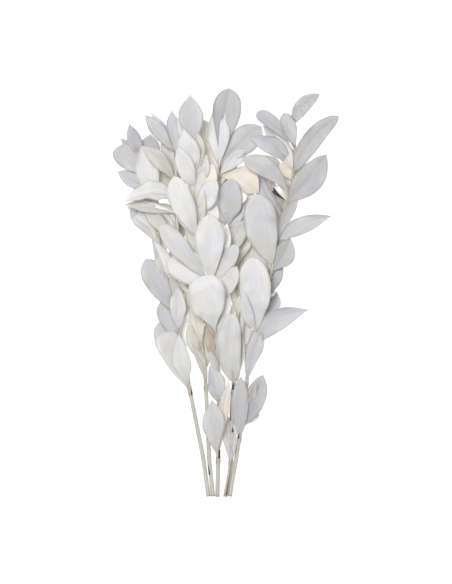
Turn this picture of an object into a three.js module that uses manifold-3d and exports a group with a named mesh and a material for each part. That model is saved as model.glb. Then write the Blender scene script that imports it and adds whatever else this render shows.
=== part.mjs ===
// Dried ruscus: a loose bunch of five bleached leafy stems, lying on a surface.
// Millimetres, +Z up. The stems run along Y, with their cut ends at -Y and the leaves at +Y.
// What a ruscus shows as leaves are flattened side shoots, stiff blades that grow straight
// out of the stem. Each stem and its blades grew as one piece, so they are one solid.

import * as THREE from 'three';
import { mergeVertices } from 'three/addons/utils/BufferGeometryUtils.js';
import Module from 'manifold-3d';

const wasm = await Module();
wasm.setup();

// Driving dimensions
const buttY = -246; // where all five stems were cut
const buttRadius = 2.45; // stem radius at the cut
const shootRadius = 0.9; // stem radius under the last blades
const slimming = 1.6; // above 1 the lower stem keeps its thickness for longer
const stemSides = 6;
const stemSteps = 14;
const buttCrowding = 1.15; // the steps along a stem lie closer together towards the cut
const bladeThick = 0.8;
const stalkHalf = 1.3; // half the width of a blade where it leaves the stem
const tipHalf = 0.6; // half the width of a blade at its blunt end
const footTaperUsual = 1.5; // how sharply a blade narrows towards its foot
const tipTaperUsual = 1;
const curlFromUsual = 0.62; // how far along a blade its tip starts to curl
const bladeColumns = 2;
const longBlade = 90; // a blade over this length takes more rows, and one under shortBlade fewer
const shortBlade = 64;
const manyRows = 6;
const usualRows = 5;
const fewRows = 4;
const tipCrowding = 1.25; // the rows lie closer together towards the tip
const hangsUnder = -8; // a tip this far below its foot belongs to a hanging blade
const fullTurn = 2 * Math.PI;

// Small differences between blades
const goldenRatio = 0.618034;
const countsPerStem = 40; // more than any stem has blades
const archLeast = 0.03; // height of the arch as a share of the blade's length
const archMost = 0.09;
const twistMost = 0.25; // radians over a whole blade
const twistFrom = 0.3;
const fullestLeast = 0.58;
const fullestMost = 0.68;
const cupLeast = 0.12; // how far the edges turn up, as a share of half the width
const cupMost = 0.4;
const waveDepth = 0.13;
const wavesAlong = 1.2;

// Each stem has its course, a list of [y, x, z] from the cut end to the last blades, and its
// blades, each [y of the foot on the stem, tip x, tip y, how far the tip stands above or below
// the stem there, width, what sets it apart]. Roll and curl are in degrees, bow goes to the
// left, and fullest is where the blade is widest, from 0 at its foot to 1 at its tip.
const stems = {
  leafy_stem_left: {
    course: [
      [-246, -21.4, 2], [-222, -24.8, 2], [-200, -27.8, 5], [-120, -43, 20], [-50, -56, 33],
      [20, -74, 42], [80, -83, 47], [130, -91, 49], [180, -101, 50],
    ],
    blades: [
      [-119, -75, -44, 6, 32, { fullest: 0.82, footTaper: 1.35, tipTaper: 0.35 }],
      [-112, -56, -46, 20, 22, { roll: 5, bow: 4 }],
      [-100, -80, -31, -14, 25, { bow: 5, fullest: 0.75, tipTaper: 0.5 }],
      [-58, -80, -8, -12, 22, { tipTaper: 0.7 }],
      [-46, -58, 10, 10, 20, { roll: 20, bow: 2, tipTaper: 0.8 }],
      [-20, -97, 44, 0, 29, { bow: 1, fullest: 0.68, footTaper: 1.2, tipTaper: 0.6 }],
      [11, -88, 66, 6, 21, { roll: 30, bow: -1 }],
      [58, -115, 118, -6, 28, { roll: 10, curl: -130 }],
      [72, -119, 106, -4, 13, { bow: -3 }],
      [95, -101, 181, 8, 28, { roll: 5 }],
      [128, -131, 149, -8, 20, { fullest: 0.5 }],
      [140, -134, 181, 0, 28, { curl: 60 }],
      [160, -116, 205, 4, 18, { bow: 2 }],
      [155, -127, 189, -8, 12],
      [146, -91, 194, -8, 26],
      [101, -112, 160, -20, 24],
      [60, -98, 132, -49.5, 26],
      [30, -84, 90, -30, 18],
      [-30, -84, 30, -18, 24],
      [-76, -52, -8, -20, 22],
      [-58, -66, 36, -3, 16],
    ],
  },
  leafy_stem_inner: {
    course: [
      [-246, -16, 2], [-222, -18.3, 2], [-200, -20.5, 6.5], [-130, -23.5, 24],
      [-70, -27.6, 36], [-20, -37, 46], [30, -49, 54], [65, -56, 58], [100, -59, 61],
      [190, -60, 64],
    ],
    blades: [
      [-112, -42, -58, 8, 11, { roll: 20, bow: -3.5 }],
      [-62, -40, -4, 12, 17],
      [-23, -51, 4, 4, 10, { roll: 30, bow: 2 }],
      [60, -100, 108, -1, 18],
      [76, -82, 110, -8, 22],
      [117, -120, 111, 15, 29, { roll: 34, bow: -5, fullest: 0.5, footTaper: 0.6, tipTaper: 0.8 }],
      [134, -102, 178, 16, 20, { bow: -4, tipTaper: 1.3 }],
      [170, -97, 215, 2, 18],
      [171, -90, 219, -13, 14, { fullest: 0.55 }],
      [165, -65, 221, -2, 16],
      [97, -121, 108, 1, 16, { roll: 20 }],
      [140, -72, 200, -22, 24],
      [100, -74, 172, -26, 30],
      [55, -60, 120, -44, 26],
      [10, -62, 70, -24, 26],
      [-35, -44, 25, -30, 22],
      [-85, -46, -34, -14, 20],
      [-50, -56, 16, -22, 20],
      [66, -85, 107, 0, 8, { roll: 40 }],
      [-10, -58, 44, -16, 26, { fullest: 0.7, tipTaper: 0.5 }],
      [-96, -24, -34, -6, 18],
    ],
  },
  leafy_stem_front: {
    course: [
      [-246, -10.6, 2.1], [-202, -9.6, 11], [-118, -8.4, 36],
      [-50, -11.5, 56], [10, -16.8, 70], [45, -25, 76], [80, -35, 79], [120, -36, 80],
      [195, -43, 81],
    ],
    blades: [
      [-202, -17, -125, 14, 27, { bow: 1, fullest: 0.68, footTaper: 2.2 }],
      [-200, 4, -100, 6, 14, { roll: 15, bow: 3 }],
      [-133, -20, -84, 8, 24, { roll: 20 }],
      [-96, -19.5, -66, 6, 10],
      [-47, -29, 22, 24, 46, { curl: 60, curlFrom: 0.8, fullest: 0.74, footTaper: 2, tipTaper: 0.4 }],
      [-16, 13, 35, 4, 21, { tipTaper: 0.7 }],
      [11, -20, 96, 24, 37, { fullest: 0.7, footTaper: 1.6, tipTaper: 0.55 }],
      [14, -79, 84, 14, 24, { fullest: 0.72, tipTaper: 0.5 }],
      [4, -67, 46, -4, 34, { curl: 30, fullest: 0.72, tipTaper: 0.5 }],
      [14, 14, 60, 4, 22, { tipTaper: 0.6 }],
      [65, -61, 141, 22, 30, { bow: 3, fullest: 0.7, tipTaper: 0.6 }],
      [92, -11, 136, 14, 24, { tipTaper: 0.7 }],
      [96, -15, 156, 6, 26, { tipTaper: 0.8 }],
      [122, -23, 167, 12, 18],
      [136, -50, 197, 22, 28, { tipTaper: 1.2 }],
      [138, -34, 194, 10, 22],
      [160, -57, 212, -6, 12],
      [170, -42, 238, 8, 29, { tipTaper: 1.2 }],
      [60, -37, 148, 2, 22],
      [-60, -20, -5, -12, 22],
      [64, -58, 118, -10, 26],
      [122, -57, 174, 26, 21, { tipTaper: 0.7 }],
      [56, -14, 114, 0, 24],
      [34, -46, 92, -12, 22],
      [20, 2, 86, -2, 24],
      [-90, -18, -34, -10, 20],
      [-50, 2, 4, -6, 18],
    ],
  },
  leafy_stem_middle: {
    course: [
      [-246, -0.8, 2.1], [-202, 6, 10], [-130, 7.5, 27], [-60, 14, 42],
      [0, 13.5, 52], [40, 8.5, 57], [75, 2.4, 60], [110, -3.6, 62], [150, -8.4, 63],
      [180, -5, 63],
    ],
    blades: [
      [-105, 7, -20, 28, 30, { bow: 5, fullest: 0.62, footTaper: 0.55, tipTaper: 0.5 }],
      [-204, -2, -142, -6, 17, { roll: 20, footTaper: 0.8 }],
      [-24, 16, 0, 6, 12],
      [46, 23, 89, 8, 22, { bow: 4, tipTaper: 0.7 }],
      [79, 7, 139, 12, 30, { tipTaper: 0.55 }],
      [84, -8, 106, 10, 12],
      [112, 26, 118, 12, 20, { tipTaper: 0.7 }],
      [142, 40, 122, -6, 33, { bow: 9 }],
      [142, 26, 174, 6, 21, { bow: 3 }],
      [152, 43, 202, -6, 33, { bow: 2, tipTaper: 0.7 }],
      [149, 3.5, 247, 4, 35, { fullest: 0.76, footTaper: 2.4, tipTaper: 0.55 }],
      [152, -27, 211, -14, 28],
      [140, -24, 183, 2, 15],
      [66, 16, 122, 2, 24],
      [110, 4, 190, -34, 26],
      [60, -4, 140, -12, 28],
      [15, 8, 95, -40, 26],
      [30, 28, 96, -14, 26],
      [-30, 14, 50, -20, 30, { fullest: 0.7, tipTaper: 0.5 }],
      [-75, 8, -10, -16, 24],
      [130, 22, 200, -14, 24],
      [62, 30, 128, -10, 28],
      [150, -10, 226, 8, 28, { fullest: 0.6, tipTaper: 0.8 }],
      [-118, 19, -44, 4, 14],
      [-84, 24, -28, -16, 22],
    ],
  },
  leafy_stem_right: {
    course: [
      [-246, 4.6, 2], [-222, 8.5, 2], [-200, 12.3, 6], [-136, 21.6, 21], [-88, 27.6, 31],
      [-40, 41, 40], [2, 50, 47], [36, 56, 52], [84, 66, 57], [137, 79, 60], [175, 82.5, 61],
      [211, 79, 62],
    ],
    blades: [
      [-164, 45, -96, 6, 26, { bow: -2, fullest: 0.64, tipTaper: 0.7 }],
      [-158, 40, -138, -6, 15, { bow: -1 }],
      [-176, 18, -98, 12, 20, { footTaper: 1, tipTaper: 0.7 }],
      [-142, 36, -106, 18, 12, { roll: 50 }],
      [-108, 45, -38, 4, 19, { bow: 3 }],
      [-60, 100, -17.5, 10, 26, { bow: 11, fullest: 0.5, footTaper: 1.1 }],
      [-48, 31, 46, 28, 39, { tipTaper: 0.5 }],
      [-46, 20, 6, 36, 15, { bow: 5 }],
      [-6, 65, 40, -12, 20, { tipTaper: 0.7 }],
      [-30, 62, 4, -18, 22],
      [28, 77, 69, -2, 27, { bow: -3, fullest: 0.48, tipTaper: 0.9 }],
      [64, 126.5, 94.5, 8, 21, { bow: 5, fullest: 0.46, footTaper: 1.2 }],
      [36, 36, 121, 24, 40, { bow: 3, fullest: 0.66, footTaper: 1, tipTaper: 0.5 }],
      [60, 87, 118, 2, 14, { bow: 4 }],
      [110, 120, 168, 6, 33, { bow: -3, fullest: 0.5, footTaper: 1.2, tipTaper: 0.8 }],
      [148, 135, 214, 6, 24, { bow: 6, fullest: 0.54, footTaper: 0.6, tipTaper: 0.6 }],
      [122, 20, 164, 14, 25, { bow: -6, fullest: 0.72, tipTaper: 0.7 }],
      [128, 40, 168, -8, 22],
      [137, 64, 158, 10, 15],
      [143, 60, 191, 6, 18, { roll: 10 }],
      [150, 27, 188, 16, 22, { bow: -8 }],
      [176, 36.5, 219, 2, 17, { bow: -3, fullest: 0.75, tipTaper: 0.38 }],
      [206, 112, 240, 2, 18, { bow: 5, fullest: 0.5, footTaper: 0.6, tipTaper: 0.8 }],
      [176, 69, 217, 10, 19, { tipTaper: 0.5 }],
      [170, 44, 204, -12, 16],
      [88, 36, 150, -14, 26],
      [110, 84, 175, -38, 26],
      [70, 70, 142, -61.5, 26],
      [20, 62, 95, -26, 26],
      [-40, 50, 36, -28, 26, { fullest: 0.7, tipTaper: 0.5 }],
      [-20, 28, 66, -16, 32],
      [120, 92, 172, -26, 20],
      [-90, 34, -40, -18, 18],
    ],
  },
};

// The middle of the stem at a height y, on a smooth line through its course.
function stemAt(course, y) {
  const last = course.length - 2;
  const found = course.findIndex((point, i) => i <= last && y <= course[i + 1][0]);
  const i = found < 0 ? last : found;
  const slope = (k, axis) => {
    const before = course[Math.max(k - 1, 0)];
    const after = course[Math.min(k + 1, course.length - 1)];
    return (after[axis] - before[axis]) / (after[0] - before[0]);
  };
  const step = course[i + 1][0] - course[i][0];
  const u = (y - course[i][0]) / step;
  const smooth = (axis) =>
    course[i][axis] * (1 + 2 * u) * (1 - u) ** 2 + course[i + 1][axis] * u ** 2 * (3 - 2 * u)
    + step * (slope(i, axis) * u * (1 - u) ** 2 - slope(i + 1, axis) * u ** 2 * (1 - u));
  return new THREE.Vector3(smooth(1), y, smooth(2));
}

function solidFrom(geometry) {
  geometry.deleteAttribute('normal');
  geometry.deleteAttribute('uv');
  const merged = mergeVertices(geometry, 1e-5);
  return new wasm.Manifold(new wasm.Mesh({
    numProp: 3,
    vertProperties: merged.attributes.position.array,
    triVerts: new Uint32Array(merged.index.array),
  }));
}

function geometryFrom(solid) {
  const mesh = solid.getMesh();
  const geometry = new THREE.BufferGeometry();
  geometry.setAttribute('position', new THREE.BufferAttribute(mesh.vertProperties, 3));
  geometry.setIndex(new THREE.BufferAttribute(mesh.triVerts, 1));
  geometry.computeVertexNormals();
  return geometry;
}

// A tapering rod, bent along the stem's course.
function stemSolid(course) {
  const topY = course[course.length - 1][0];
  const rod = new THREE.CylinderGeometry(1, 1, 1, stemSides, stemSteps);
  rod.rotateY(Math.PI / stemSides); // a flat side lies underneath
  const place = rod.attributes.position;
  for (let i = 0; i < place.count; i += 1) {
    const along = (place.getY(i) + 0.5) ** buttCrowding;
    const y = THREE.MathUtils.lerp(buttY, topY, along);
    const radius = THREE.MathUtils.lerp(buttRadius, shootRadius, along ** slimming);
    const centre = stemAt(course, y);
    const ahead = stemAt(course, y + 1).sub(stemAt(course, y - 1)).normalize();
    const across = new THREE.Vector3().crossVectors(ahead, new THREE.Vector3(0, 0, 1)).normalize();
    const above = new THREE.Vector3().crossVectors(across, ahead);
    centre.addScaledVector(across, place.getX(i) * radius);
    centre.addScaledVector(above, place.getZ(i) * radius);
    place.setXYZ(i, centre.x, centre.y, centre.z);
  }
  return solidFrom(rod);
}

// One of a blade's small differences, between least and most. Each kind steps at its own pace.
function differing(count, pace, least, most) {
  return THREE.MathUtils.lerp(least, most, (((count * goldenRatio) % 1) * pace) % 1);
}

// Half the width of a blade at t, from 0 at its foot to 1 at its tip.
function halfWidth(shape, t) {
  const { fullest, footTaper, tipTaper } = shape;
  const share = t < fullest ? t / fullest : (1 - t) / (1 - fullest);
  const taper = t < fullest ? footTaper : tipTaper;
  const blade = (shape.wide / 2) * share ** taper * (1 + taper * (1 - share));
  return Math.max(blade, THREE.MathUtils.lerp(stalkHalf, tipHalf, t));
}

// A point of a blade, at t along it and v across it, from -1 at the left edge to 1 at the right.
// The blade is arched along its length, cupped across it, twisted, waved and curled at the tip.
function bladePoint(shape, t, v) {
  const { foot, ahead, face, side, length, bow, curl, curlFrom } = shape;
  const half = halfWidth(shape, t);
  const hump = 4 * t * (1 - t);
  const turn = shape.twist * (t - twistFrom);
  const wave = waveDepth * v * Math.abs(v) * Math.sin(fullTurn * (wavesAlong * t + shape.phase));
  const rise = half * (shape.cup * v * v + wave);
  const out = half * v * Math.cos(turn) - rise * Math.sin(turn);
  const up = half * v * Math.sin(turn) + rise * Math.cos(turn);
  const bend = curl / ((1 - curlFrom) * length);
  const curled = Math.max(t - curlFrom, 0) * length * bend;
  const onward = curled ? curlFrom * length + Math.sin(curled) / bend : t * length;
  const drop = curled ? (1 - Math.cos(curled)) / bend : 0;
  return foot.clone()
    .addScaledVector(ahead, onward + up * Math.sin(curled))
    .addScaledVector(face, shape.arch * hump - drop + up * Math.cos(curled))
    .addScaledVector(side, out - bow * hump);
}

// A sheet in the form of the blade, whose normals point to its upper face.
function bladeSheet(course, blade, count) {
  const [footY, tipX, tipY, stand, wide, special = {}] = blade;
  const foot = stemAt(course, footY);
  const reach = new THREE.Vector3(tipX, tipY, stemAt(course, tipY).z + stand).sub(foot);
  const length = reach.length();
  const hangs = reach.z < hangsUnder; // a blade that hangs below the stem arches downwards
  const ahead = reach.clone().normalize();
  const face = new THREE.Vector3(0, 0, 1).addScaledVector(ahead, -ahead.z).normalize();
  face.applyAxisAngle(ahead, THREE.MathUtils.degToRad(special.roll ?? 0));
  const shape = {
    foot, ahead, face, length, wide,
    side: new THREE.Vector3().crossVectors(ahead, face),
    bow: special.bow ?? 0,
    curl: THREE.MathUtils.degToRad(special.curl ?? 0),
    curlFrom: special.curlFrom ?? curlFromUsual,
    arch: (hangs ? -1 : 1) * length * differing(count, 1, archLeast, archMost),
    twist: differing(count, 3, -twistMost, twistMost),
    fullest: special.fullest ?? differing(count, 5, fullestLeast, fullestMost),
    footTaper: special.footTaper ?? footTaperUsual,
    tipTaper: special.tipTaper ?? tipTaperUsual,
    cup: differing(count, 7, cupLeast, cupMost),
    phase: differing(count, 1, 0, 1),
  };
  const shorter = length < shortBlade ? fewRows : usualRows;
  const rows = length > longBlade ? manyRows : shorter;
  const sheet = new THREE.PlaneGeometry(2, 1, bladeColumns, rows);
  const place = sheet.attributes.position;
  for (let i = 0; i < place.count; i += 1) {
    const t = 1 - (0.5 - place.getY(i)) ** tipCrowding;
    const point = bladePoint(shape, t, place.getX(i));
    place.setXYZ(i, point.x, point.y, point.z);
  }
  sheet.computeVertexNormals();
  return sheet;
}

// The sheet with a front and a back face, split into triangles alike, and a rim between them.
function bladeSolid(sheet) {
  const place = sheet.attributes.position;
  const normal = sheet.attributes.normal;
  const count = place.count;
  const points = [];
  for (const face of [0.5, -0.5]) {
    for (let i = 0; i < count; i += 1) {
      const at = new THREE.Vector3().fromBufferAttribute(place, i);
      at.addScaledVector(new THREE.Vector3().fromBufferAttribute(normal, i), face * bladeThick);
      points.push(at.x, at.y, at.z);
    }
  }
  const front = Array.from(sheet.index.array);
  const back = front.map((k) => k + count).reverse();
  const width = bladeColumns + 1;
  const rows = count / width - 1;
  const rim = [];
  for (let x = 0; x < bladeColumns; x += 1) rim.push(x);
  for (let y = 0; y < rows; y += 1) rim.push(y * width + bladeColumns);
  for (let x = bladeColumns; x > 0; x -= 1) rim.push(rows * width + x);
  for (let y = rows; y > 0; y -= 1) rim.push(y * width);
  const edge = rim.flatMap((a, k) => {
    const b = rim[(k + 1) % rim.length];
    return [a, b, b + count, a, b + count, a + count];
  });
  const geometry = new THREE.BufferGeometry();
  geometry.setAttribute('position', new THREE.Float32BufferAttribute(points, 3));
  geometry.setIndex([...front, ...back, ...edge]);
  return solidFrom(geometry);
}

function bladeOn(course, blade, count) {
  return bladeSolid(bladeSheet(course, blade, count));
}

// What would lie below the surface is cut off flat, which gives the bunch its resting spots.
const belowSurface = solidFrom(new THREE.BoxGeometry(800, 800, 100).translate(0, 0, -50));

const group = new THREE.Group();
Object.entries(stems).forEach(([name, stem], stemCount) => {
  let solid = stemSolid(stem.course);
  stem.blades.forEach((blade, i) => {
    solid = solid.add(bladeOn(stem.course, blade, stemCount * countsPerStem + i));
  });
  solid = solid.subtract(belowSurface);
  const dried = new THREE.MeshStandardMaterial({ color: 0xe8e8e9, roughness: 0.8, metalness: 0 });
  const mesh = new THREE.Mesh(geometryFrom(solid), dried);
  mesh.name = name;
  group.add(mesh);
});

export default group;
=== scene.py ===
# Dried ruscus: a loose bunch of five bleached leafy stems, lying on a pale floor.
# The tables are in millimetres, in the part's own frame: the stems run along Y with their cut
# ends at -Y, +X goes across the fan and +Z up from the floor. What looks like leaves are
# cladodes, flattened side shoots that grow straight out of the stem, called blades here.
import math

import bmesh
import bpy
from mathutils import Matrix, Vector, noise


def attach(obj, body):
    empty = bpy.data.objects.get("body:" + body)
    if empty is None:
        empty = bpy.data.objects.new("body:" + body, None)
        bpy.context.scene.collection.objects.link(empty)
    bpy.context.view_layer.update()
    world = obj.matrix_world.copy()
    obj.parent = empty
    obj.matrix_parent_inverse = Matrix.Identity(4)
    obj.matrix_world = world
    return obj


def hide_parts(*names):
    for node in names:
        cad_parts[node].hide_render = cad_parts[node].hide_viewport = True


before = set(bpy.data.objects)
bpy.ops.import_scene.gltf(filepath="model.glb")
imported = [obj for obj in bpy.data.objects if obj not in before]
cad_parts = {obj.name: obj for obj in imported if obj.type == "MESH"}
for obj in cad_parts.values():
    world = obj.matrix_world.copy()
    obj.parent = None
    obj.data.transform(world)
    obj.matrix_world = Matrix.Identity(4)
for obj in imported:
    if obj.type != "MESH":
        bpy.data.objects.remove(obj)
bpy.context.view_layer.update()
print("frame loaded:", len(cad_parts), "nodes")

mm = 0.001
fullTurn = 2 * math.pi


def lerp(a, b, share):
    return a + (b - a) * share


def easeIn(share):  # 0 to 1 with a soft start and end
    share = min(max(share, 0), 1)
    return share * share * (3 - 2 * share)


def linear(hexColour):  # an sRGB hex value as linear red, green, blue and alpha
    channels = [int(hexColour[i:i + 2], 16) / 255 for i in (0, 2, 4)]
    return tuple(c / 12.92 if c <= 0.04045 else ((c + 0.055) / 1.055) ** 2.4
                 for c in channels) + (1.0,)


def addNode(tree, kind, settings=None, links=None):
    # settings are the node's own properties or sockets, links are {input: (node, output)}
    node = tree.nodes.new(kind)
    for name, value in (settings or {}).items():
        if hasattr(node, name):
            setattr(node, name, value)
        else:
            node.inputs[name].default_value = value
    for name, (source, output) in (links or {}).items():
        tree.links.new(source.outputs[output], node.inputs[name])
    return node


def newMaterial(name):
    material = bpy.data.materials.new(name)
    material.use_nodes = True
    material.node_tree.nodes.clear()
    return material, material.node_tree


bladeFinish = {
    "veinSpacing": 1.3,  # mm between parallel veins, drawn wider than the real 0.6 so they show
    "veinStretch": 400,  # mm, several times a blade's length, so the veins hardly waver
    "veinRate": 0.32,  # scale at which the wave texture draws about one vein a unit
    "veinRelief": 0.05,  # mm
    "streakWidth": 0.9,  # mm across one bleaching streak
    "streakLength": 30,
    "streakDark": "F2F1F0",
    "streakSpan": (0.3, 0.55),  # levels of the noise between which a streak fades out
    "blotchSize": 22,  # mm across a faint warm or cool patch
    "blotchWarm": "FDFBF6",
    "blotchCool": "FAFAFD",
    "blotchSpan": (0.38, 0.62),
    "rimShadeFrom": 0.82,  # share of the half width where the painted shade along the rim starts
    "rimShadeColour": "DEDCD8",
    "roughness": 0.62,
    "glow": 0.5,  # share of the light that spreads inside a blade before it comes out
    "glowWarmth": (1, 0.98, 0.94),  # how far red, green and blue light get, as shares
    "glowDepth": 2.5,  # mm that light travels inside, which lets it through the thin blades
}


def bleachedCladode():
    # Leaf tissue bleached and dried with glycerine: chalky and matt with a faint waxy
    # gleam, fine lengthwise veins, and painted shade along the rim, where the edges turn from
    # the light.
    finish = bladeFinish
    material, tree = newMaterial("bleachedCladode")
    tint = addNode(tree, "ShaderNodeAttribute", {"attribute_name": "tint"})
    margin = addNode(tree, "ShaderNodeAttribute", {"attribute_name": "margin"})
    grain = addNode(tree, "ShaderNodeUVMap", {"uv_map": "grain"})
    place = addNode(tree, "ShaderNodeTexCoord")

    alongGrain = addNode(tree, "ShaderNodeMapping", {
        "Scale": (1 / finish["streakWidth"], 1 / finish["streakLength"], 1),
    }, {"Vector": (grain, "UV")})
    streaks = addNode(tree, "ShaderNodeTexNoise", {
        "Scale": 1, "Detail": 3, "Roughness": 0.6,
    }, {"Vector": (alongGrain, "Vector")})
    streakTone = addNode(tree, "ShaderNodeValToRGB", links={"Fac": (streaks, "Fac")})
    streakTone.color_ramp.elements[0].position = finish["streakSpan"][0]
    streakTone.color_ramp.elements[0].color = linear(finish["streakDark"])
    streakTone.color_ramp.elements[1].position = finish["streakSpan"][1]
    streakTone.color_ramp.elements[1].color = (1, 1, 1, 1)

    blotches = addNode(tree, "ShaderNodeTexNoise", {
        "Scale": 1 / (finish["blotchSize"] * mm), "Detail": 2,
    }, {"Vector": (place, "Object")})
    blotchTone = addNode(tree, "ShaderNodeValToRGB", links={"Fac": (blotches, "Fac")})
    blotchTone.color_ramp.elements[0].position = finish["blotchSpan"][0]
    blotchTone.color_ramp.elements[0].color = linear(finish["blotchCool"])
    blotchTone.color_ramp.elements[1].position = finish["blotchSpan"][1]
    blotchTone.color_ramp.elements[1].color = linear(finish["blotchWarm"])

    # painted shade along the rim, where the edges turn away from the light
    rimShadeTone = addNode(tree, "ShaderNodeValToRGB", links={"Fac": (margin, "Fac")})
    rimShadeTone.color_ramp.elements[0].position = finish["rimShadeFrom"]
    rimShadeTone.color_ramp.elements[0].color = (1, 1, 1, 1)
    rimShadeTone.color_ramp.elements[1].position = 1
    rimShadeTone.color_ramp.elements[1].color = linear(finish["rimShadeColour"])

    layered = (tint, "Color")
    for tone in (streakTone, blotchTone, rimShadeTone):
        mixed = addNode(tree, "ShaderNodeMix", {"data_type": "RGBA", "blend_type": "MULTIPLY"})
        mixed.inputs["Factor"].default_value = 1
        tree.links.new(layered[0].outputs[layered[1]], mixed.inputs[6])
        tree.links.new(tone.outputs["Color"], mixed.inputs[7])
        layered = (mixed, 2)

    veinScale = addNode(tree, "ShaderNodeMapping", {
        "Scale": (1 / finish["veinSpacing"], 1 / finish["veinStretch"], 1),
    }, {"Vector": (grain, "UV")})
    veins = addNode(tree, "ShaderNodeTexWave", {
        "wave_type": "BANDS", "bands_direction": "X", "Scale": finish["veinRate"],
        "Distortion": 0.6, "Detail": 1,
    }, {"Vector": (veinScale, "Vector")})
    relief = addNode(tree, "ShaderNodeMath", {"operation": "ADD"}, {0: (veins, "Fac")})
    tree.links.new(streaks.outputs["Fac"], relief.inputs[1])
    bump = addNode(tree, "ShaderNodeBump", {
        "Strength": 0.5, "Distance": finish["veinRelief"] * mm,
    }, {"Height": (relief, "Value")})
    surface = addNode(tree, "ShaderNodeBsdfPrincipled", {
        "Roughness": finish["roughness"], "IOR": 1.45, "Subsurface Weight": finish["glow"],
        "Subsurface Radius": finish["glowWarmth"], "Subsurface Scale": finish["glowDepth"] * mm,
    }, {"Normal": (bump, "Normal")})
    tree.links.new(layered[0].outputs[layered[1]], surface.inputs["Base Color"])
    addNode(tree, "ShaderNodeOutputMaterial", links={"Surface": (surface, "BSDF")})
    return material


stemFinish = {
    "fibreWidth": 0.5,  # mm
    "fibreLength": 26,
    "fibreDark": "D3CFC2",
    "fibreSpan": (0.32, 0.6),
    "grooveRelief": 0.08,
    "roughness": 0.58,
}


def driedStem():
    # Bleached woody shoot: smooth skin drawn into fine lengthwise grooves, straw grey.
    finish = stemFinish
    material, tree = newMaterial("driedStem")
    tint = addNode(tree, "ShaderNodeAttribute", {"attribute_name": "tint"})
    grain = addNode(tree, "ShaderNodeUVMap", {"uv_map": "grain"})
    alongGrain = addNode(tree, "ShaderNodeMapping", {
        "Scale": (1 / finish["fibreWidth"], 1 / finish["fibreLength"], 1),
    }, {"Vector": (grain, "UV")})
    fibres = addNode(tree, "ShaderNodeTexNoise", {
        "Scale": 1, "Detail": 3, "Roughness": 0.65,
    }, {"Vector": (alongGrain, "Vector")})
    fibreTone = addNode(tree, "ShaderNodeValToRGB", links={"Fac": (fibres, "Fac")})
    fibreTone.color_ramp.elements[0].position = finish["fibreSpan"][0]
    fibreTone.color_ramp.elements[0].color = linear(finish["fibreDark"])
    fibreTone.color_ramp.elements[1].position = finish["fibreSpan"][1]
    fibreTone.color_ramp.elements[1].color = (1, 1, 1, 1)
    mixed = addNode(tree, "ShaderNodeMix", {"data_type": "RGBA", "blend_type": "MULTIPLY"})
    mixed.inputs["Factor"].default_value = 1
    tree.links.new(tint.outputs["Color"], mixed.inputs[6])
    tree.links.new(fibreTone.outputs["Color"], mixed.inputs[7])
    bump = addNode(tree, "ShaderNodeBump", {
        "Strength": 0.6, "Distance": finish["grooveRelief"] * mm,
    }, {"Height": (fibres, "Fac")})
    surface = addNode(tree, "ShaderNodeBsdfPrincipled", {
        "Roughness": finish["roughness"], "IOR": 1.5,
    }, {"Normal": (bump, "Normal")})
    tree.links.new(mixed.outputs[2], surface.inputs["Base Color"])
    addNode(tree, "ShaderNodeOutputMaterial", links={"Surface": (surface, "BSDF")})
    return material


bladeMaterial = bleachedCladode()
stemMaterial = driedStem()
print("materials made")


# Tones of the blades: the colour of the body, and the colour towards the foot. Their lightness
# is
# painted light and shade: white, pale, cool, dusk and grey are lit and shaded copies of much the
# same bleached colour, darker for blades that lie low, at the edge of the fan or turned from the
# light, and bright is lighter for blades deep inside; shade and the warm brown tone are painted
# shade on blades in the gaps and hollows.
tones = {
    "bright": ("ECECE9", "E7E7DF"),  # mostly deep inside, lighter to make up for the shade there
    "white": ("D5D5D6", "D2D2CC"),
    "pale": ("CCCCCD", "C9C9C3"),
    "cool": ("C5C5C7", "C4C4BF"),
    "dusk": ("BABABE", "B9B9B7"),
    "grey": ("AEAEB1", "AFAFAC"),
    "cream": ("D6D4CC", "D2D1C3"),
    "blush": ("D7D3CF", "D2CEC6"),
    "peach": ("DAD1CA", "D3CCC0"),
    "shade": ("C3C1BB", "BCB9AF"),
    # painted shade, warm brown, for blades deep in the hollows, and the forked twig's two rods
    "brownShade": ("B3AA9D", "A69D8D"),
    # near black
    "nearBlack": ("3B362F", "57503F"),
}

# A course is a list of (y, x, z) from the cut end to the last blades. A blade is (y of the foot
# on the stem, x of the tip, y of the tip, how far the tip stands above the stem there, width,
# tone, what sets it apart). Roll, curl and the turns of its two edges are in degrees, bow goes
# to the left, lift bends the tip up, and fullest is where the blade is widest, from 0 at its
# foot to 1 at its tip. Withered blades are written the same way. A dark mark on the stem, partly
# a node scar and partly painted shadow in the gaps between stems and leaves, is (y, degrees
# round the stem from its right side, length, colour).

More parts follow.
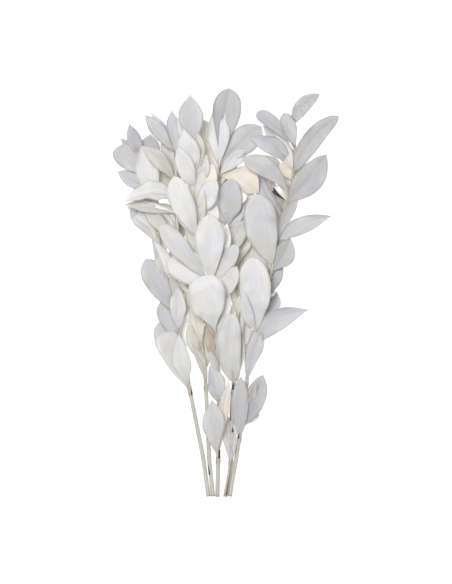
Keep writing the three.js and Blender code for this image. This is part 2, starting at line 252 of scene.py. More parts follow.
stemLeft = {
    "node": "leafy_stem_left",
    "course": [
        (-246, -21.4, 2), (-222, -24.8, 2), (-200, -27.8, 5), (-120, -43, 20), (-50, -56, 33),
        (20, -74, 42), (80, -83, 47), (130, -91, 49), (180, -101, 50),
    ],
    "blades": [
        (-119, -75, -44, 6, 32, "pale", {"fullest": 0.82, "footTaper": 1.35, "tipTaper": 0.35}),
        (-112, -56, -46, 20, 22, "white", {"roll": 5, "bow": 4}),
        (-100, -80, -31, -14, 25, "dusk", {"bow": 5, "fullest": 0.75, "tipTaper": 0.5}),
        (-58, -80, -8, -12, 22, "dusk", {"tipTaper": 0.7}),
        (-46, -58, 10, 10, 20, "white", {"roll": 20, "bow": 2, "tipTaper": 0.8}),
        (-20, -97, 44, 0, 29, "dusk", {"bow": 1, "fullest": 0.68, "footTaper": 1.2,
                                       "tipTaper": 0.6}),
        (11, -88, 66, 6, 21, "white", {"roll": 30, "bow": -1}),
        (58, -115, 118, -6, 28, "cool", {"roll": 10, "curl": -130}),
        (72, -119, 106, -4, 13, "white", {"bow": -3}),
        (95, -101, 181, 8, 28, "white", {"lift": -2, "roll": 5}),
        (128, -131, 149, -8, 20, "dusk", {"fullest": 0.5}),
        (140, -134, 181, 0, 28, "dusk", {"curl": 60}),
        (160, -116, 205, 4, 18, "grey", {"bow": 2}),
        (155, -127, 189, -8, 12, "grey", {}),
        (146, -91, 194, -8, 26, "grey", {}),
        (101, -112, 160, -20, 24, "shade", {}),
        (60, -98, 132, -49.5, 26, "shade", {}),
        (30, -84, 90, -30, 18, "cream", {}),
        (-30, -84, 30, -18, 24, "shade", {}),
        (-76, -52, -8, -20, 22, "bright", {}),
        (-58, -66, 36, -3, 16, "shade", {}),
    ],
    "scarsAndShadows": [(-121, 60, 8, "dark")],
    "withered": [],
}

stemInner = {
    "node": "leafy_stem_inner",
    "course": [
        (-246, -16, 2), (-222, -18.3, 2), (-200, -20.5, 6.5), (-130, -23.5, 24),
        (-70, -27.6, 36), (-20, -37, 46), (30, -49, 54), (65, -56, 58), (100, -59, 61),
        (190, -60, 64),
    ],
    "blades": [
        (-112, -42, -58, 8, 11, "shade", {"roll": 20, "bow": -3.5}),
        (-62, -40, -4, 12, 17, "cream", {}),
        (-23, -51, 4, 4, 10, "brownShade", {"roll": 30, "bow": 2}),
        (60, -100, 108, -1, 18, "shade", {}),
        (76, -82, 110, -8, 22, "shade", {}),
        (117, -120, 111, 15, 29, "white", {"roll": 34, "bow": -5, "fullest": 0.5,
                                          "footTaper": 0.6, "tipTaper": 0.8, "turnLeft": 70}),
        (134, -102, 178, 16, 20, "shade", {"bow": -4, "tipTaper": 1.3, "turnLeft": 80}),
        (170, -97, 215, 2, 18, "dusk", {}),
        (171, -90, 219, -13, 14, "cool", {"fullest": 0.55}),
        (165, -65, 221, -2, 16, "dusk", {}),
        (97, -121, 108, 1, 16, "shade", {"roll": 20}),
        (140, -72, 200, -22, 24, "cool", {}),
        (100, -74, 172, -26, 30, "shade", {}),
        (55, -60, 120, -44, 26, "brownShade", {}),
        (10, -62, 70, -24, 26, "shade", {}),
        (-35, -44, 25, -30, 22, "shade", {}),
        (-85, -46, -34, -14, 20, "shade", {}),
        (-50, -56, 16, -22, 20, "bright", {}),
        (66, -85, 107, 0, 8, "cream", {"roll": 40}),
        (-10, -58, 44, -16, 26, "cream", {"fullest": 0.7, "tipTaper": 0.5}),
        (-96, -24, -34, -6, 18, "shade", {}),
    ],
    "scarsAndShadows": [(-219, 125, 14, "dark"), (-102, 75, 10, "dark"), (-80, 100, 8, "dark")],
    "withered": [(98, -97, 110, 4, 5, "bright", {"curl": 160, "turnLeft": 150})],
}

stemFront = {
    "node": "leafy_stem_front",
    "course": [
        (-246, -10.6, 2.1), (-202, -9.6, 11), (-118, -8.4, 36),
        (-50, -11.5, 56), (10, -16.8, 70), (45, -25, 76), (80, -35, 79), (120, -36, 80),
        (195, -43, 81),
    ],
    "blades": [
        (-202, -17, -125, 14, 27, "cool", {"bow": 1, "fullest": 0.68, "footTaper": 2.2}),
        (-200, 4, -100, 6, 14, "peach", {"roll": 15, "bow": 3}),
        (-133, -20, -84, 8, 24, "cool", {"roll": 20}),
        (-96, -19.5, -66, 6, 10, "shade", {}),
        (-47, -29, 22, 24, 46, "white", {"curl": 60, "curlFrom": 0.8, "fullest": 0.74,
                                         "footTaper": 2, "tipTaper": 0.4}),
        (-16, 13, 35, 4, 21, "pale", {"tipTaper": 0.7}),
        (11, -20, 96, 24, 37, "white", {"fullest": 0.7, "footTaper": 1.6, "tipTaper": 0.55}),
        (14, -79, 84, 14, 24, "cool", {"fullest": 0.72, "tipTaper": 0.5}),
        (4, -67, 46, -4, 34, "white", {"curl": 30, "fullest": 0.72, "tipTaper": 0.5}),
        (14, 14, 60, 4, 22, "cool", {"tipTaper": 0.6}),
        (65, -61, 141, 22, 30, "white", {"bow": 3, "fullest": 0.7, "tipTaper": 0.6}),
        (92, -11, 136, 14, 24, "white", {"tipTaper": 0.7}),
        (96, -15, 156, 6, 26, "blush", {"tipTaper": 0.8}),
        (122, -23, 167, 12, 18, "pale", {}),
        (136, -50, 197, 22, 28, "white", {"tipTaper": 1.2}),
        (138, -34, 194, 10, 22, "shade", {}),
        (160, -57, 212, -6, 12, "pale", {}),
        (170, -42, 238, 8, 29, "dusk", {"tipTaper": 1.2}),
        (60, -37, 148, 2, 22, "cream", {}),
        (-60, -20, -5, -12, 22, "brownShade", {"lift": 6}),
        (64, -58, 118, -10, 26, "white", {}),
        (122, -57, 174, 26, 21, "white", {"tipTaper": 0.7}),
        (56, -14, 114, 0, 24, "white", {}),
        (34, -46, 92, -12, 22, "shade", {}),
        (20, 2, 86, -2, 24, "bright", {}),
        (-90, -18, -34, -10, 20, "brownShade", {}),
        (-50, 2, 4, -6, 18, "bright", {}),
    ],
    "scarsAndShadows": [(-127, 115, 9, "dark"), (-198, 65, 16, "dark"), (-180, 60, 14, "brown")],
    "withered": [(0, -46, 12, 4, 4, "bright", {"curl": 120})],
}

stemMiddle = {
    "node": "leafy_stem_middle",
    "course": [
        (-246, -0.8, 2.1), (-202, 6, 10), (-130, 7.5, 27), (-60, 14, 42),
        (0, 13.5, 52), (40, 8.5, 57), (75, 2.4, 60), (110, -3.6, 62), (150, -8.4, 63),
        (180, -5, 63),
    ],
    "blades": [
        (-105, 7, -20, 28, 30, "pale", {"bow": 5, "fullest": 0.62, "footTaper": 0.55,
                                        "tipTaper": 0.5}),
        (-204, -2, -142, -6, 17, "cool", {"roll": 20, "footTaper": 0.8}),
        (-24, 16, 0, 6, 12, "cream", {}),
        (46, 23, 89, 8, 22, "shade", {"bow": 4, "tipTaper": 0.7}),
        (79, 7, 139, 12, 30, "dusk", {"tipTaper": 0.55}),
        (84, -8, 106, 10, 12, "bright", {}),
        (112, 26, 118, 12, 20, "bright", {"tipTaper": 0.7}),
        (142, 40, 122, -6, 33, "peach", {"bow": 9}),
        (142, 26, 174, 6, 21, "pale", {"bow": 3}),
        (152, 43, 202, -6, 33, "dusk", {"bow": 2, "tipTaper": 0.7}),
        (149, 3.5, 247, 4, 35, "grey", {"fullest": 0.76, "footTaper": 2.4, "tipTaper": 0.55}),
        (152, -27, 211, -14, 28, "cream", {}),
        (140, -24, 183, 2, 15, "blush", {}),
        (66, 16, 122, 2, 24, "cool", {}),
        (110, 4, 190, -34, 26, "shade", {}),
        (60, -4, 140, -12, 28, "bright", {}),
        (15, 8, 95, -40, 26, "shade", {}),
        (30, 28, 96, -14, 26, "cream", {}),
        (-30, 14, 50, -20, 30, "bright", {"fullest": 0.7, "tipTaper": 0.5}),
        (-75, 8, -10, -16, 24, "bright", {}),
        (130, 22, 200, -14, 24, "bright", {}),
        (62, 30, 128, -10, 28, "bright", {}),
        (150, -10, 226, 8, 28, "white", {"fullest": 0.6, "tipTaper": 0.8}),
        (-118, 19, -44, 4, 14, "shade", {}),
        (-84, 24, -28, -16, 22, "pale", {}),
    ],
    "scarsAndShadows": [(-114, 105, 14, "dark"), (-152, 125, 20, "brown"), (-166, 70, 6, "dark"),
              (-244, 70, 46, "brown")],
    "withered": [],
}

stemRight = {
    "node": "leafy_stem_right",
    "course": [
        (-246, 4.6, 2), (-222, 8.5, 2), (-200, 12.3, 6), (-136, 21.6, 21), (-88, 27.6, 31),
        (-40, 41, 40), (2, 50, 47), (36, 56, 52), (84, 66, 57), (137, 79, 60), (175, 82.5, 61),
        (211, 79, 62),
    ],
    "blades": [
        (-164, 45, -96, 6, 26, "grey", {"bow": -2, "fullest": 0.64, "tipTaper": 0.7}),
        (-158, 40, -138, -6, 15, "bright", {"bow": -1}),
        (-176, 18, -98, 12, 20, "dusk", {"footTaper": 1, "tipTaper": 0.7}),
        (-142, 36, -106, 18, 12, "white", {"roll": 50}),
        (-108, 45, -38, 4, 19, "dusk", {"bow": 3}),
        (-60, 100, -17.5, 10, 26, "dusk", {"bow": 11, "fullest": 0.5, "footTaper": 1.1}),
        (-48, 31, 46, 28, 39, "white", {"tipTaper": 0.5}),
        (-46, 20, 6, 36, 15, "white", {"bow": 5}),
        (-6, 65, 40, -12, 20, "grey", {"tipTaper": 0.7}),
        (-30, 62, 4, -18, 22, "dusk", {}),
        (28, 77, 69, -2, 27, "grey", {"bow": -3, "fullest": 0.48, "tipTaper": 0.9}),
        (64, 126.5, 94.5, 8, 21, "dusk", {"bow": 5, "fullest": 0.46, "footTaper": 1.2}),
        (36, 36, 121, 24, 40, "cool", {"bow": 3, "fullest": 0.66, "footTaper": 1,
                                       "tipTaper": 0.5}),
        (60, 87, 118, 2, 14, "grey", {"bow": 4}),
        (110, 120, 168, 6, 33, "grey", {"bow": -3, "fullest": 0.5, "footTaper": 1.2,
                                        "tipTaper": 0.8}),
        (148, 135, 214, 6, 24, "grey", {"bow": 6, "fullest": 0.54, "footTaper": 0.6,
                                        "tipTaper": 0.6}),
        (122, 20, 164, 14, 25, "dusk", {"bow": -6, "fullest": 0.72, "tipTaper": 0.7}),
        (128, 40, 168, -8, 22, "shade", {}),
        (137, 64, 158, 10, 15, "peach", {}),
        (143, 60, 191, 6, 18, "blush", {"roll": 10}),
        (150, 27, 188, 16, 22, "dusk", {"bow": -8}),
        (176, 36.5, 219, 2, 17, "grey", {"bow": -3, "fullest": 0.75, "tipTaper": 0.38}),
        (206, 112, 240, 2, 18, "grey", {"bow": 5, "fullest": 0.5, "footTaper": 0.6,
                                        "tipTaper": 0.8}),
        (176, 69, 217, 10, 19, "dusk", {"tipTaper": 0.5}),
        (170, 44, 204, -12, 16, "dusk", {}),
        (88, 36, 150, -14, 26, "dusk", {}),
        (110, 84, 175, -38, 26, "bright", {}),
        (70, 70, 142, -61.5, 26, "cream", {}),
        (20, 62, 95, -26, 26, "bright", {}),
        (-40, 50, 36, -28, 26, "shade", {"fullest": 0.7, "tipTaper": 0.5}),
        (-20, 28, 66, -16, 32, "shade", {}),
        (120, 92, 172, -26, 20, "bright", {}),
        (-90, 34, -40, -18, 18, "bright", {}),
    ],
    "scarsAndShadows": [(-129, 110, 12, "dark"), (-166, 70, 7, "dark"), (-174, 110, 6, "dark"),
              (118, 75, 24, "dark"), (38, 105, 20, "dark")],
    "withered": [
        # a near-black curled bit
        (112, 50, 130, 12, 7, "nearBlack", {"curl": 200, "curlFrom": 0.5, "turnLeft": 170,
                                          "turnRight": 120}),
        (112, 56, 134, 14, 7, "bright", {"curl": 150, "curlFrom": 0.5, "turnLeft": 140}),
        (-6, 60, 4, 6, 4, "bright", {"curl": 60}),
        (98, 37, 148, 2, 2, "brownShade", {}),
        (98, 48, 148, 2, 2, "brownShade", {"bow": 4}),
    ],
}


def stemAt(course, y):  # the middle of a stem at y, on a smooth line through its course
    last = len(course) - 2
    i = next((k for k in range(last + 1) if y <= course[k + 1][0]), last)
    here, there = course[i], course[i + 1]
    step = there[0] - here[0]
    u = (y - here[0]) / step

    def slope(k, axis):
        before, after = course[max(k - 1, 0)], course[min(k + 1, len(course) - 1)]
        return (after[axis] - before[axis]) / (after[0] - before[0])

    def smooth(axis):
        return (here[axis] * (1 + 2 * u) * (1 - u) ** 2 + there[axis] * u ** 2 * (3 - 2 * u)
                + step * (slope(i, axis) * u * (1 - u) ** 2
                          - slope(i + 1, axis) * u ** 2 * (1 - u)))

    return Vector((smooth(1), y, smooth(2)))


def stemFrame(course, y):  # the middle of the stem, and the ways ahead, right and up there
    ahead = (stemAt(course, y + 1) - stemAt(course, y - 1)).normalized()
    over = ahead.cross(Vector((0, 0, 1))).normalized()
    return stemAt(course, y), ahead, over, over.cross(ahead)


bladeForm = {
    "columns": 24,
    "rows": 30,
    "tipCrowding": 1.25,  # the rows lie closer together towards the tip
    "thick": 0.8,
    "thickMargin": 0.35,
    "thickStalk": 2.0,
    "stalkShare": 0.13,  # share of the length that is thickened into a stalk
    "stalkHalf": 1.3,  # half the width where the blade leaves the stem
    "tipHalf": 0.25,
    "spineFrom": 0.98,  # share of the length past which only the spine of the tip goes on
    "spineHalf": 0.55,
    "wander": 0.07,  # how far an edge strays from its smooth outline, as a share
    "wanderLength": 21,
    "wanderStep": 7.3,  # from one blade's place in the noise to the next one's
    "edgesApart": 3,  # keeps the two edges of a blade unlike
    "footTaper": 1.5,  # how sharply a blade narrows towards its foot
    "tipTaper": 1,
    "curlFrom": 0.62,  # how far along the tip starts to curl
    "hangsUnder": -8,  # a tip this far below its foot belongs to a hanging blade
    "arch": (0.03, 0.09),  # height of the arch as a share of the length
    "twist": (-0.25, 0.25),  # radians over a whole blade
    "twistFrom": 0.3,
    "fullest": (0.58, 0.68),
    "lean": (-0.05, 0.05),  # how much further up one edge is fullest than the other
    "cup": (0.12, 0.4),  # how far the edges turn up, as a share of half the width
    "waveDepth": 0.17,
    "wavesAlong": 1.2,
    "fold": (0.04, 0.4),  # how sharply the two halves fold along the middle
    "turnFrom": 0.62,  # share of the half width where the margin starts to turn
    "turn": (-30, 70),  # degrees that a dried margin turns up
    "ribDepth": 0.14,  # mm of relief of the main veins
    "ribPairs": 3,
    "midribHeight": 0.22,
    "midribWidth": 0.09,
    "flutter": 0.11,  # waving of the dried margin, as a share of half the width
    "fluttersAlong": 3.1,
    "flutterShift": 3,  # turns that the flutter differs by from blade to blade, at most
    "flutterLag": 1.3,  # radians that the right margin is behind the left
    "rumple": 1.5,  # mm of unevenness from drying
    "rumpleSize": 13,
    "rumpleStep": 9.7,
    "reliefFrom": 6,  # mm of half width below which the fine relief fades
    "footShare": 0.45,  # share of the length over which the foot's colour turns to the body's
}
goldenRatio = 0.618034  # steps through the small differences between blades
countsPerStem = 40  # more than any stem has blades


def differing(count, pace, least, most):  # one of a blade's small differences
    return lerp(least, most, ((count * goldenRatio) % 1 * pace) % 1)


def bladeShape(course, blade, count):
    form = bladeForm
    footY, tipX, tipY, stand, wide, tone, special = blade
    foot = stemAt(course, footY)
    stand += special.get("lift", 0)  # mm that the tip is bent up to clear another stem's blade
    reach = Vector((tipX, tipY, stemAt(course, tipY).z + stand)) - foot
    length = reach.length
    ahead = reach.normalized()
    face = (Vector((0, 0, 1)) - ahead * ahead.z).normalized()
    face.rotate(Matrix.Rotation(math.radians(special.get("roll", 0)), 3, ahead))
    upward = -1 if reach.z < form["hangsUnder"] else 1  # a hanging blade arches downwards
    return {
        "foot": foot, "ahead": ahead, "face": face, "side": ahead.cross(face),
        "length": length, "wide": wide, "tone": tone, "count": count,
        "bow": special.get("bow", 0), "curl": math.radians(special.get("curl", 0)),
        "arch": upward * length * differing(count, 1, *form["arch"]),
        "twist": differing(count, 3, *form["twist"]),
        "fullest": special.get("fullest", differing(count, 5, *form["fullest"])),
        "footTaper": special.get("footTaper", form["footTaper"]),
        "tipTaper": special.get("tipTaper", form["tipTaper"]),
        "curlFrom": special.get("curlFrom", form["curlFrom"]),
        "lean": differing(count, 13, *form["lean"]),
        "turnLeft": math.radians(special.get("turnLeft", differing(count, 17, *form["turn"]))),
        "turnRight": math.radians(special.get("turnRight", differing(count, 19, *form["turn"]))),
        "cup": differing(count, 7, *form["cup"]),
        "phase": differing(count, 1, 0, 1),
        "fold": differing(count, 11, *form["fold"]),
    }


def halfWidth(shape, t, v):  # at t, from 0 at the foot to 1 at the tip
    form = bladeForm
    fullest = shape["fullest"] + v * shape["lean"]
    onBlade = min(t / form["spineFrom"], 1)
    if onBlade < fullest:
        share, taper = onBlade / fullest, shape["footTaper"]
    else:
        share, taper = (1 - onBlade) / (1 - fullest), shape["tipTaper"]
    blade = shape["wide"] / 2 * share ** taper * (1 + taper * (1 - share))
    where = Vector((t * shape["length"] / form["wanderLength"],
                    math.copysign(form["edgesApart"], v), form["wanderStep"] * shape["count"]))
    blade *= 1 + form["wander"] * v * v * noise.noise(where)
    spine = lerp(form["spineHalf"], form["tipHalf"], (t - 0.5) * 2)
    return max(blade, lerp(form["stalkHalf"], spine, easeIn(2 * t)))


def turnedMargin(shape, v):  # how far out and up a point lies, as shares of the half width
    turnFrom = bladeForm["turnFrom"]
    turn = shape["turnLeft"] if v < 0 else shape["turnRight"]
    past = abs(v) - turnFrom
    if past <= 0 or abs(turn) < 1e-3:
        return v, 0
    bend = turn / (1 - turnFrom)
    out = turnFrom + math.sin(past * bend) / bend
    return math.copysign(out, v), (1 - math.cos(past * bend)) / bend


def bladePoint(shape, t, v):  # v goes from -1 at the left edge to 1 at the right
    form = bladeForm
    half = halfWidth(shape, t, v)
    hump = 4 * t * (1 - t)
    turn = shape["twist"] * (t - form["twistFrom"])
    wave = form["waveDepth"] * v * abs(v) * math.sin(
        fullTurn * (form["wavesAlong"] * t + shape["phase"]))
    flutter = form["flutter"] * v ** 4 * math.sin(
        fullTurn * (form["fluttersAlong"] * t + form["flutterShift"] * shape["phase"])
        + (form["flutterLag"] if v > 0 else 0))
    flat, turned = turnedMargin(shape, v)
    rise = half * (shape["cup"] * v * v + shape["fold"] * (abs(v) - v * v) + wave + flutter
                   + turned)
    body = min(half / form["reliefFrom"], 1) * hump ** 0.5  # no fine relief at the ends
    rise += body * form["ribDepth"] * math.cos(fullTurn * form["ribPairs"] * v) * (1 - v ** 4)
    rise -= body * form["midribHeight"] * math.exp(-(v / form["midribWidth"]) ** 2)
    where = Vector((half * v, t * shape["length"], form["rumpleStep"] * shape["count"]))
    where /= form["rumpleSize"]
    rise += body * form["rumple"] * noise.noise(where)
    out = half * flat * math.cos(turn) - rise * math.sin(turn)
    up = half * flat * math.sin(turn) + rise * math.cos(turn)
    length, curlFrom = shape["length"], shape["curlFrom"]
    bend = shape["curl"] / ((1 - curlFrom) * length)
    curled = max(t - curlFrom, 0) * length * bend
    onward = curlFrom * length + math.sin(curled) / bend if curled else t * length
    drop = (1 - math.cos(curled)) / bend if curled else 0
    return (shape["foot"]
            + shape["ahead"] * (onward + up * math.sin(curled))
            + shape["face"] * (shape["arch"] * hump - drop + up * math.cos(curled))
            + shape["side"] * (out - shape["bow"] * hump))


def flatBlade(columns, rows):  # a flat closed sheet, x across, y along, z through it
    bm = bmesh.new()
    bmesh.ops.create_grid(bm, x_segments=columns, y_segments=rows, size=1)
    bmesh.ops.solidify(bm, geom=bm.faces[:], thickness=1)
    bmesh.ops.recalc_face_normals(bm, faces=bm.faces[:])
    mesh = bpy.data.meshes.new("flatBlade")
    bm.to_mesh(mesh)
    bm.free()
    return mesh


def bladeColour(shape, t, v):
    body, foot = (Vector(linear(tone)[:3]) for tone in tones[shape["tone"]])
    colour = foot.lerp(body, easeIn(t / bladeForm["footShare"]))
    return (*colour, 1)


def growBlade(bm, layers, shape):
    form = bladeForm
    columns, rows = form["columns"], form["rows"]
    start = len(bm.verts), len(bm.faces)
    bm.from_mesh(flatMesh)
    bm.verts.ensure_lookup_table()
    bm.faces.ensure_lookup_table()

    def share(row):
        return 1 - (1 - row / rows) ** form["tipCrowding"]

    def across(column):
        return 2 * column / columns - 1

    sheet = [[bladePoint(shape, share(row), across(column)) for row in range(rows + 1)]
             for column in range(columns + 1)]
    for vert in bm.verts[start[0]:]:
        column, row = round((vert.co.x + 1) / 2 * columns), round((vert.co.y + 1) / 2 * rows)
        t, v = share(row), across(column)
        sideways = (sheet[min(column + 1, columns)][row] - sheet[max(column - 1, 0)][row])
        onwards = (sheet[column][min(row + 1, rows)] - sheet[column][max(row - 1, 0)])
        normal = sideways.cross(onwards).normalized()
        thick = lerp(form["thickMargin"], form["thick"], 1 - v * v)
        thick = lerp(form["thickStalk"], thick, easeIn(t / form["stalkShare"]))
        through = 0.5 if vert.co.z > flatMiddle else -0.5
        vert.co = sheet[column][row] + normal * through * thick
        vert[layers["tint"]] = bladeColour(shape, t, v)
        vert[layers["margin"]] = abs(v)
        vert[layers["grain"]] = Vector((v * shape["wide"] / 2, t * shape["length"], 0))
    for face in bm.faces[start[1]:]:
        face.smooth = True
        face.material_index = 0
        for loop in face.loops:
            loop[layers["uv"]].uv = loop.vert[layers["grain"]].xy


flatMesh = flatBlade(bladeForm["columns"], bladeForm["rows"])
levels = {round(vert.co.z, 4) for vert in flatMesh.vertices}
flatMiddle = sum(levels) / len(levels)
print("flat blade:", len(flatMesh.polygons), "faces, levels", levels)


rodForm = {
    "buttRadius": 2.7,
    "shootRadius": 0.9,
    "slimming": 1.6,  # above 1 the lower stem keeps its thickness for longer
    "sides": 24,
    "rings": 150,
    "grooves": 8,
    "grooveDepth": 0.035,  # share of the radius
    "nodeSwell": 0.45,  # mm that the stem swells where a blade leaves it
    "nodeLength": 3.2,
    "skin": "C2C1BB",
    "skinShoot": "D2D2CA",
    "nodeSkin": "BAB4A4",
    "barkShare": 0.3,  # widths of the rings on the cut end, as shares of the radius
    "woodShare": 0.35,
    "pithFrom": 0.5,
    "cut": "C8BEA6",
    "pith": "A99C80",
}


def rodRadius(along):
    form = rodForm
    return lerp(form["buttRadius"], form["shootRadius"], along ** form["slimming"])


def growRod(bm, layers, course, feet):
    form = rodForm
    start = len(bm.verts), len(bm.faces)
    bmesh.ops.create_cone(bm, cap_ends=True, segments=form["sides"],
                          radius1=1, radius2=1, depth=1)
    bm.verts.ensure_lookup_table()
    bm.faces.ensure_lookup_table()
    rod = bm.verts[start[0]:]
    uprights = {edge for vert in rod for edge in vert.link_edges
                if abs(edge.verts[0].co.z - edge.verts[1].co.z) > 0.5}
    bmesh.ops.subdivide_edges(bm, edges=list(uprights), cuts=form["rings"] - 1)
    bm.faces.ensure_lookup_table()
    cutFace = min(bm.faces[start[1]:], key=lambda face: face.calc_center_median().z)
    bmesh.ops.inset_region(bm, faces=[cutFace], thickness=form["barkShare"])
    bmesh.ops.inset_region(bm, faces=[cutFace], thickness=form["woodShare"])
    bm.verts.ensure_lookup_table()
    bm.faces.ensure_lookup_table()
    topY = course[-1][0]
    skin, skinShoot, nodeSkin, cut, pith = (
        Vector(linear(form[name])[:3])
        for name in ("skin", "skinShoot", "nodeSkin", "cut", "pith"))
    for vert in bm.verts[start[0]:]:
        along = vert.co.z + 0.5
        y = lerp(course[0][0], topY, along)
        ring = vert.co.xy.length
        angle = math.atan2(vert.co.y, vert.co.x)
        node = max(math.exp(-((y - foot) / form["nodeLength"]) ** 2) for foot in feet)
        radius = rodRadius(along) + node * form["nodeSwell"]
        radius *= 1 - form["grooveDepth"] * (1 + math.cos(form["grooves"] * angle))
        centre, ahead, over, above = stemFrame(course, y)
        vert.co = (centre + over * vert.co.x * radius + above * vert.co.y * radius)
        colour = skin.lerp(skinShoot, along).lerp(nodeSkin, node)
        if along < 1e-4 and ring < 0.99:  # on the cut end, inside its rim
            colour = cut if ring > form["pithFrom"] else pith
        vert[layers["tint"]] = (*colour, 1)
        vert[layers["grain"]] = Vector((angle, y, 0))
    for face in bm.faces[start[1]:]:
        face.smooth = len(face.verts) == 4
        face.material_index = 1
        turned = [loop.vert[layers["grain"]].x for loop in face.loops]
        wraps = max(turned) - min(turned) > math.pi
        for loop, angle in zip(face.loops, turned):
            angle += fullTurn if wraps and angle < 0 else 0
            loop[layers["uv"]].uv = (angle * form["buttRadius"], loop.vert[layers["grain"]].y)


bractForm = {
    "sides": 8,
    "tipShare": 0.2,  # width of the tip as a share of the foot's
    "length": 6,
    "half": 1.3,
    "thick": 0.35,
    "spread": 1.1,  # mm that its tip stands off the stem
    "turnRight": 40,  # degrees round the stem, on the side that the blade grows from
    "turnLeft": 140,
    "dry": "B3AB9A",
    # dark and brown marks along the stems: partly node scars, partly painted shadow
    "dark": "37322B",
    "brown": "86796A",
}


def growBract(bm, layers, course, y, turn, length, colour):
    # The papery scale that each blade grew behind, a thin pointed shell close to the stem. The
    # dark marks on the stems are drawn the same way, in a darker colour: partly scars at the
    # nodes, partly painted shadow in the gaps between stems and leaves.
    form = bractForm
    start = len(bm.verts), len(bm.faces)
    bmesh.ops.create_cone(bm, cap_ends=True, segments=form["sides"], radius1=1,
                          radius2=form["tipShare"], depth=1)
    bm.verts.ensure_lookup_table()
    bm.faces.ensure_lookup_table()
    rodLength = course[-1][0] - course[0][0]
    for vert in bm.verts[start[0]:]:
        along = vert.co.z + 0.5
        centre, ahead, over, above = stemFrame(course, y + along * length)
        outwards = over * math.cos(turn) + above * math.sin(turn)
        across = ahead.cross(outwards)
        radius = rodRadius(max(y - course[0][0], 0) / rodLength) + form["spread"] * along
        vert.co = (centre + outwards * (radius + vert.co.y * form["thick"])
                   + across * vert.co.x * form["half"])
        vert[layers["tint"]] = linear(colour)
        vert[layers["grain"]] = Vector((vert.co.x, vert.co.y, 0))
    for face in bm.faces[start[1]:]:
        face.smooth = True
        face.material_index = 1
        for loop in face.loops:
            loop[layers["uv"]].uv = loop.vert[layers["grain"]].xy


def leafyStem(stem, stemCount):
    bm = bmesh.new()
    layers = {
        "tint": bm.verts.layers.float_color.new("tint"),
        "margin": bm.verts.layers.float.new("margin"),
        "grain": bm.verts.layers.float_vector.new("grainPlace"),
        "uv": bm.loops.layers.uv.new("grain"),
    }
    for number, blade in enumerate(stem["blades"] + stem["withered"]):
        shape = bladeShape(stem["course"], blade, stemCount * countsPerStem + number)
        growBlade(bm, layers, shape)
    growRod(bm, layers, stem["course"], [blade[0] for blade in stem["blades"]])
    places = {(blade[0], blade[1] > stemAt(stem["course"], blade[0]).x): None
              for blade in stem["blades"]}  # blades that share a place share their bract
    for y, onRight in places:
        growBract(bm, layers, stem["course"], y - bractForm["length"] / 2,
                  math.radians(bractForm["turnRight" if onRight else "turnLeft"]),
                  bractForm["length"], bractForm["dry"])
    # dark marks: partly node scars, partly painted shadow between stems and leaves
    for y, turn, length, colour in stem["scarsAndShadows"]:
        growBract(bm, layers, stem["course"], y, math.radians(turn), length, bractForm[colour])
    for vert in bm.verts:
        vert.co.z = max(vert.co.z, 0)  # what would lie below the floor is pressed flat on it
    bmesh.ops.scale(bm, vec=(mm, mm, mm), verts=bm.verts[:])
    bm.verts.layers.float_vector.remove(layers["grain"])
    mesh = bpy.data.meshes.new(stem["node"] + "_fine")
    bm.to_mesh(mesh)
    bm.free()
    mesh.materials.append(bladeMaterial)
    mesh.materials.append(stemMaterial)
    piece = bpy.data.objects.new(stem["node"] + "_fine", mesh)
    bpy.context.scene.collection.objects.link(piece)
    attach(piece, "root")
    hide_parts(stem["node"])
    return piece


for stemCount, stem in enumerate((stemLeft, stemInner, stemFront, stemMiddle, stemRight)):
    piece = leafyStem(stem, stemCount)
    print("grown:", piece.name, len(piece.data.polygons), "faces")


studio = {
    "floorSize": 24,  # m, so its end stays out of sight from low down too
    "floorDrop": 0.1,  # mm below the bunch
    "floorColour": "707070",
    "floorGlow": 0.98,  # a backlit white table, which washes out the shadow round the bunch
    "skyColour": "FFFFFF",
    "skyStrength": 0.34,
    "overhead": {"size": 0.8, "power": 60, "place": (-0.4, 0.45, 2.5)},
    "fill": {"size": 1.8, "power": 4, "place": (0.9, -0.6, 1.5)},
}


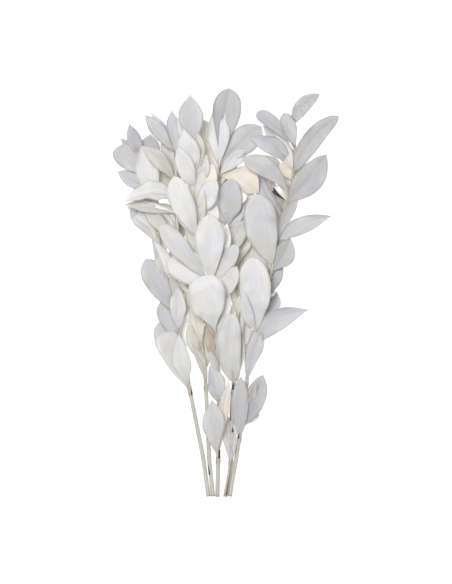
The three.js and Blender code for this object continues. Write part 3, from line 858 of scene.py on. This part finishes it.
def softLight(name, light):
    lamp = bpy.data.lights.new(name, "AREA")
    lamp.shape = "SQUARE"
    lamp.size = light["size"]
    lamp.energy = light["power"]
    holder = bpy.data.objects.new(name, lamp)
    holder.location = light["place"]
    holder.rotation_euler = (-Vector(light["place"])).to_track_quat("-Z", "Y").to_euler()
    bpy.context.scene.collection.objects.link(holder)


def paleFloor():
    bm = bmesh.new()
    bmesh.ops.create_grid(bm, x_segments=1, y_segments=1, size=studio["floorSize"] / 2)
    mesh = bpy.data.meshes.new("floor")
    bm.to_mesh(mesh)
    bm.free()
    material, tree = newMaterial("backlitAcrylic")
    surface = addNode(tree, "ShaderNodeBsdfPrincipled", {
        "Base Color": linear(studio["floorColour"]), "Roughness": 0.9, "Specular IOR Level": 0.1,
        "Emission Color": (1, 1, 1, 1), "Emission Strength": studio["floorGlow"]})
    addNode(tree, "ShaderNodeOutputMaterial", links={"Surface": (surface, "BSDF")})
    mesh.materials.append(material)
    floor = bpy.data.objects.new("floor", mesh)
    mesh.transform(Matrix.Translation((0, 0, -studio["floorDrop"] * mm)))
    bpy.context.scene.collection.objects.link(floor)


def daylight():
    world = bpy.data.worlds.new("studioAir")
    bpy.context.scene.world = world
    world.use_nodes = True
    world.node_tree.nodes.clear()
    sky = addNode(world.node_tree, "ShaderNodeBackground", {
        "Color": linear(studio["skyColour"]), "Strength": studio["skyStrength"]})
    addNode(world.node_tree, "ShaderNodeOutputWorld", links={"Surface": (sky, "Background")})


view = {
    "height": 584,
    "mmPerPixel": 1.2,  # at the height of the middle of the bunch
    "middle": (0, 3.6, 50),
    "distance": 2600,  # far off, so the bunch is seen nearly without perspective
    "sensor": 36,
    "farthest": 20,  # m
}


def overheadCamera():
    camera = bpy.data.cameras.new("overhead")
    camera.sensor_width = view["sensor"]
    camera.lens = view["sensor"] * view["distance"] / (view["height"] * view["mmPerPixel"])
    camera.clip_end = view["farthest"]
    holder = bpy.data.objects.new("overhead", camera)
    holder.location = Vector(view["middle"]) * mm + Vector((0, 0, view["distance"] * mm))
    bpy.context.scene.collection.objects.link(holder)
    bpy.context.scene.camera = holder


paleFloor()
daylight()
softLight("windowLight", studio["overhead"])
softLight("fillLight", studio["fill"])
overheadCamera()
bpy.context.scene.view_settings.view_transform = "Standard"
print("studio ready")
